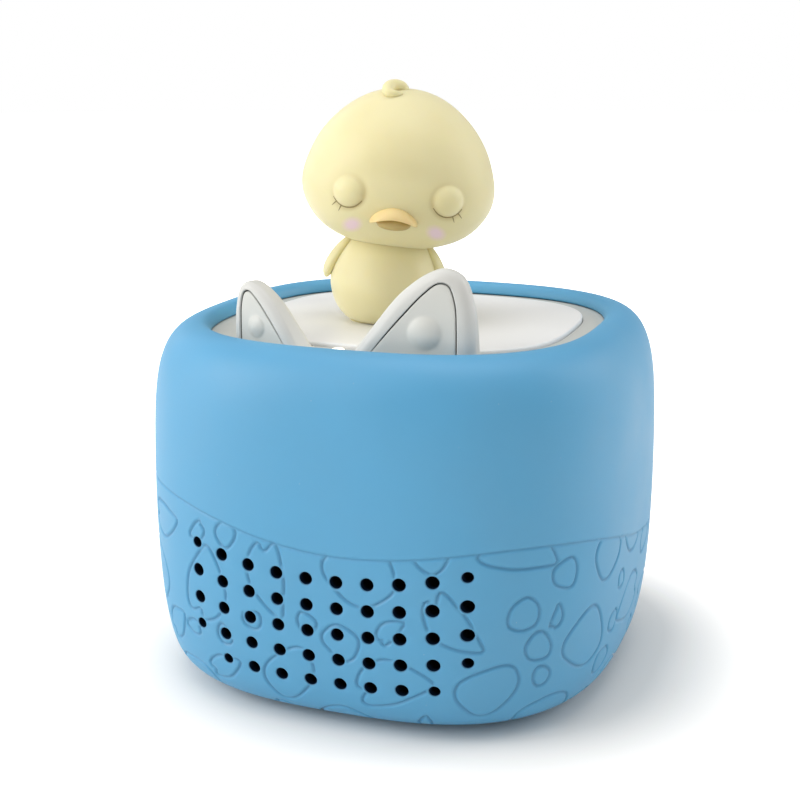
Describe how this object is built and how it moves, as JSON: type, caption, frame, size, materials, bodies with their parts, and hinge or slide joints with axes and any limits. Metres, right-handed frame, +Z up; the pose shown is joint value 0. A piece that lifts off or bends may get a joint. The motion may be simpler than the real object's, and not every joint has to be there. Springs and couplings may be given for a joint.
{
  "type": "audio story player",
  "caption": "Square-round soft-sleeved audio player for children, with a grille of holes, two ear-shaped volume keys and a lift-off chick figure standing on its top plate.",
  "frame": {"origin": "on the table, under the middle of the player", "axes": "+Z up, -Y out of the speaker grille, +X to the right of someone who faces the grille"},
  "size_m": [0.1212, 0.1212, 0.1471],
  "materials": {
    "sleeve_blue": "silky matte soft moulding",
    "deck_grey": "fine matte",
    "plate_white": "satin",
    "ear_grey": "fine matte",
    "key_grey": "fine matte",
    "lamp_lens": "satin translucent",
    "housing_dark": "matte",
    "rubber_dark": "matte",
    "board_green": "satin solder mask",
    "chip_black": "matte",
    "header_white": "satin",
    "steel": "satin",
    "screw_steel": "plated",
    "copper": "satin",
    "cell_wrap": "shrink wrap",
    "cloth_black": "fine mesh",
    "cone_grey": "pressed paper",
    "lead_red": "matte",
    "switch_black": "matte",
    "power_white": "satin",
    "figure_yellow": "soft satin",
    "beak_amber": "soft satin",
    "magnet_grey": "nickel plated"
  },
  "bodies": {
    "player": {"aerial_board": "board_green", "aerial_coil": "copper", "aerial_lead": "lead_red", "base_plate": "housing_dark", "base_screws": "screw_steel", "battery_cell": "cell_wrap", "battery_cradle": "housing_dark", "battery_lead": "lead_red", "battery_strap": "housing_dark", "bezel_screws": "screw_steel", "board_chips": "chip_black", "board_headers": "header_white", "board_screws": "screw_steel", "charge_socket": "steel", "chassis": "housing_dark", "deck_leads": "lead_red", "ear_large_board": "board_green", "ear_large_shell": "ear_grey", "ear_large_switch": "switch_black", "ear_small_board": "board_green", "ear_small_shell": "ear_grey", "ear_small_switch": "switch_black", "feet": "rubber_dark", "grille_cloth": "cloth_black", "headphone_jack": "switch_black", "indicator_board": "board_green", "indicator_led": "header_white", "indicator_lens": "lamp_lens", "main_board": "board_green", "outer_sleeve": "sleeve_blue", "port_board": "board_green", "port_lead": "lead_red", "power_switch": "switch_black", "radio_module": "steel", "speaker_baffle": "housing_dark", "speaker_basket": "steel", "speaker_gasket": "rubber_dark", "speaker_lead": "lead_red", "speaker_magnet": "steel", "speaker_screws": "screw_steel", "speaker_surround": "rubber_dark", "stand_magnet": "magnet_grey", "stand_plate": "plate_white", "top_bezel": "deck_grey"},
    "large_ear_key": {"ear_large_key": "key_grey", "ear_large_plunger": "header_white"},
    "small_ear_key": {"ear_small_key": "key_grey", "ear_small_plunger": "header_white"},
    "power_key": {"power_button": "power_white", "power_plunger": "header_white"},
    "cone": {"speaker_cone": "cone_grey", "voice_coil": "copper"},
    "figure": {"figure_base_cap": "plate_white", "figure_beak": "beak_amber", "figure_body": "figure_yellow", "figure_head": "figure_yellow", "figure_magnet": "magnet_grey", "figure_tag": "board_green", "figure_wing_left": "figure_yellow", "figure_wing_right": "figure_yellow"}
  },
  "joints": [
    {"name": "large_ear_press", "type": "slide", "parent": "player", "child": "large_ear_key", "axis": [-0.1045, 0.9945, 0], "range_m": [0, 0.0008], "stiffness_N_per_m": 600, "springref_m": -0.0004},
    {"name": "small_ear_press", "type": "slide", "parent": "player", "child": "small_ear_key", "axis": [0.342, 0.9397, 0], "range_m": [0, 0.0008], "stiffness_N_per_m": 600, "springref_m": -0.0004},
    {"name": "power_press", "type": "slide", "parent": "player", "child": "power_key", "axis": [0, -1, 0], "range_m": [0, 0.0008], "stiffness_N_per_m": 600, "springref_m": -0.0004},
    {"name": "cone_travel", "type": "slide", "parent": "player", "child": "cone", "axis": [0, 1, 0], "range_m": [-0.0005, 0.0005], "stiffness_N_per_m": 1500},
    {"name": "figure_lift", "type": "slide", "parent": "player", "child": "figure", "axis": [0, 0, 1], "range_m": [0, 0.07]}
  ]
}
